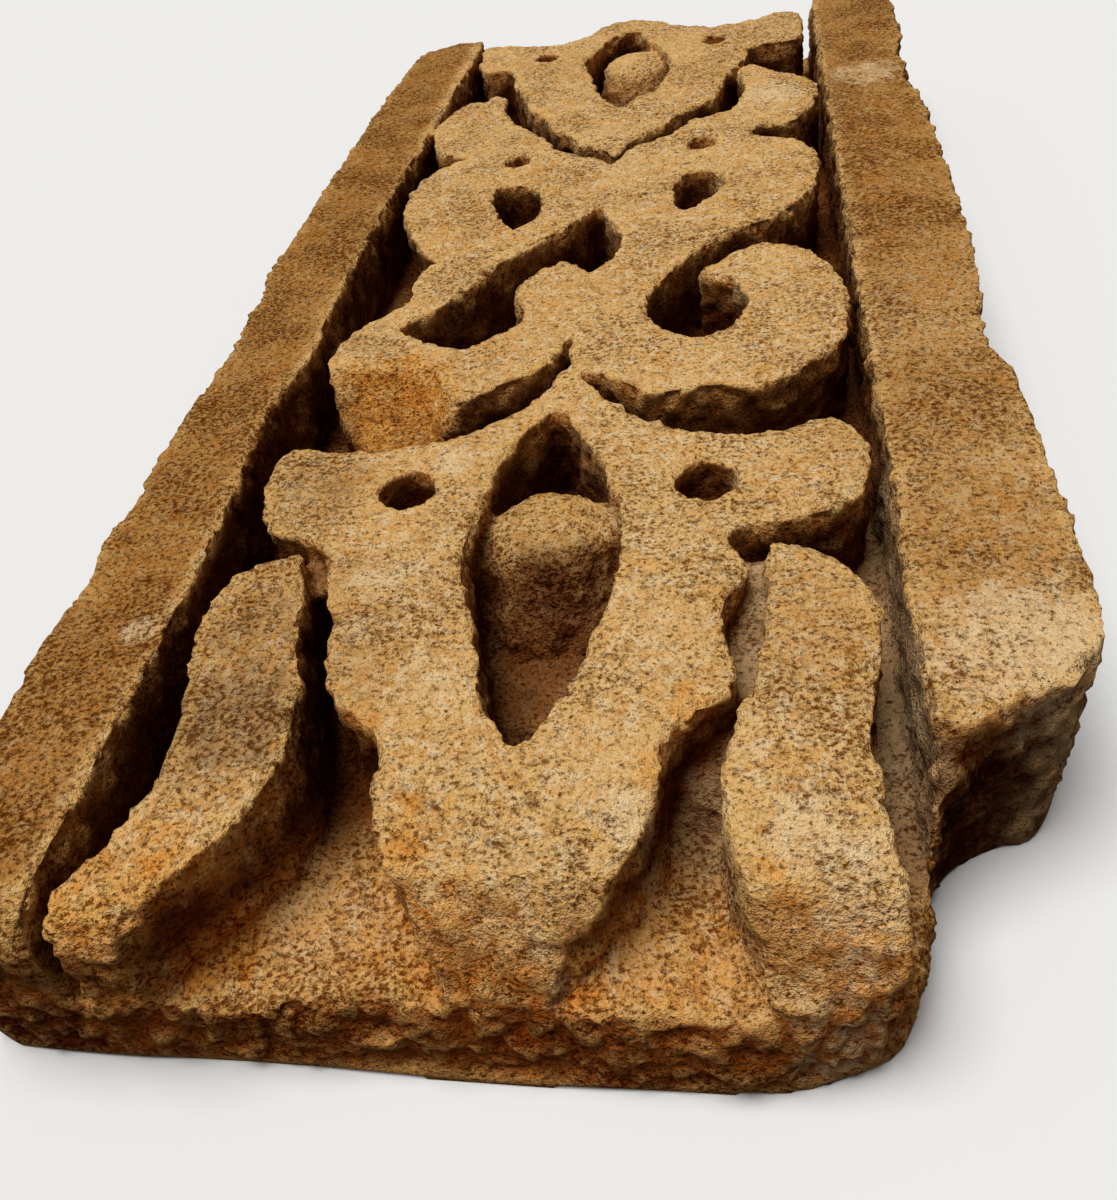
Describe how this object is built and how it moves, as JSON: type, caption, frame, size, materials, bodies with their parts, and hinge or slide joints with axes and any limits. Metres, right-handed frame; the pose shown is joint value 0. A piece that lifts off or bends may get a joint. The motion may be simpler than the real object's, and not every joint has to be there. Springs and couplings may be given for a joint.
{
  "type": "carved stone frieze slab",
  "caption": "Broken length of carved sandstone frieze: a sunk channel of crossed scrolls, calyces and leaves between two plain raised borders, worn and stained, lying face up.",
  "frame": {"origin": "centre of the flat back bed that the slab rests on", "axes": "+Z out of the carved face, +Y along the pattern from the broken near end, +X across to the wider border"},
  "size_m": [0.2824, 0.6051, 0.064],
  "materials": {
    "sandstone": "rough, open-pored, weathered sandstone"
  },
  "bodies": {
    "root": {"carved_slab": "sandstone"}
  },
  "joints": []
}
